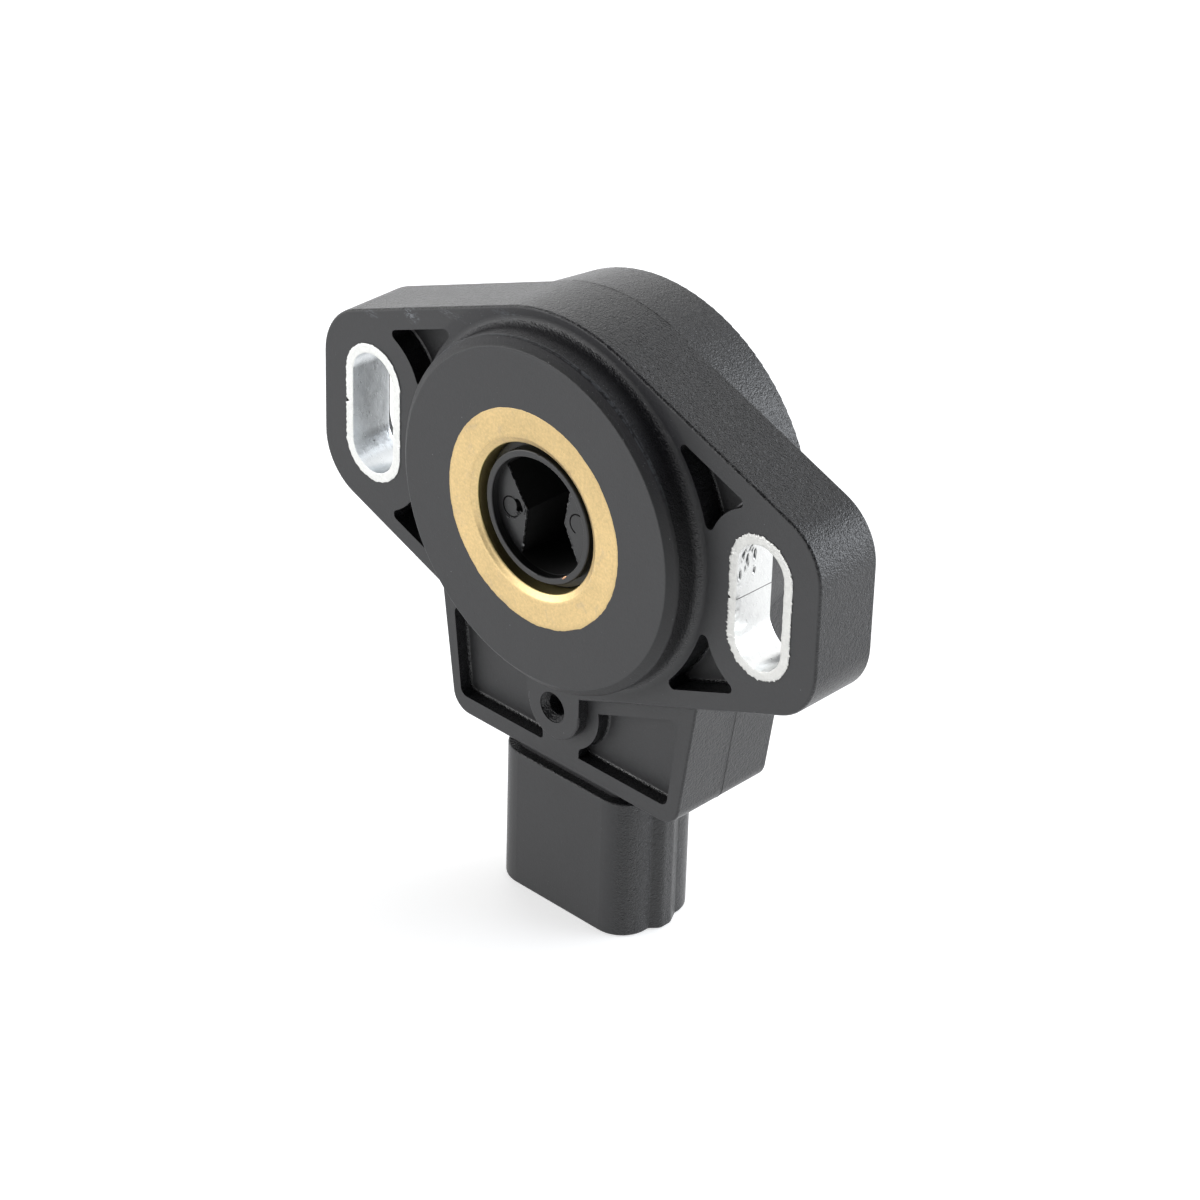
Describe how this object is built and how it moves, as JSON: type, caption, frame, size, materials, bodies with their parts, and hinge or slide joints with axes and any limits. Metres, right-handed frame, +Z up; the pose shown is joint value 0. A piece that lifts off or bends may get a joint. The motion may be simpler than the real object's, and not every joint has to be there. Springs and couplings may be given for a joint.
{
  "type": "throttle position sensor",
  "caption": "Throttle position sensor: two slotted mounting ears with metal sleeves, a bushed rotor with a bow-tie drive socket, and a downward connector.",
  "frame": {"origin": "on the rotor's axis in the plane of the flange's front (mounting) face", "axes": "+Y along the rotor axis from the mounting face into the sensor, +Z up with the connector pointing down (-Z), +X to the right seen from the rotor side"},
  "size_m": [0.0646, 0.0176, 0.0656],
  "materials": {
    "housing_plastic": "black glass-filled plastic, fine matte grain",
    "bush_brass": "satin turned face, duller bore",
    "sleeve_aluminium": "bright rolled strip with sheared rims",
    "rotor_plastic": "black moulded plastic, slightly satin",
    "seal_rubber": "black rubber",
    "washer_plastic": "off-white low-friction plastic",
    "spring_steel": "bright spring steel",
    "contact_alloy": "stamped contact alloy",
    "board_ceramic": "white ceramic with dark printed tracks",
    "terminal_tin": "tinned strip",
    "solder": "bright solder",
    "cover_plastic": "black moulded plastic"
  },
  "bodies": {
    "sensor_body": {"housing": "housing_plastic", "shaft_bush": "bush_brass", "sleeve_left": "sleeve_aluminium", "sleeve_right": "sleeve_aluminium", "rotor_seal": "seal_rubber", "thrust_washer": "washer_plastic", "preload_washer": "spring_steel", "return_spring": "spring_steel", "resistor_board": "board_ceramic", "terminal_supply": "terminal_tin", "terminal_signal": "terminal_tin", "terminal_ground": "terminal_tin", "solder_joints": "solder", "rear_cover": "cover_plastic", "cover_seal": "seal_rubber"},
    "rotor_body": {"rotor": "rotor_plastic", "wiper": "contact_alloy"}
  },
  "joints": [
    {"name": "rotor_turn", "type": "hinge", "parent": "sensor_body", "child": "rotor_body", "pos_m": [0, 0, 0], "axis": [0, 1, 0], "range_deg": [0, 100], "stiffness_Nm_per_rad": 0.004, "springref_deg": -85.94, "deforming": ["return_spring"]}
  ]
}
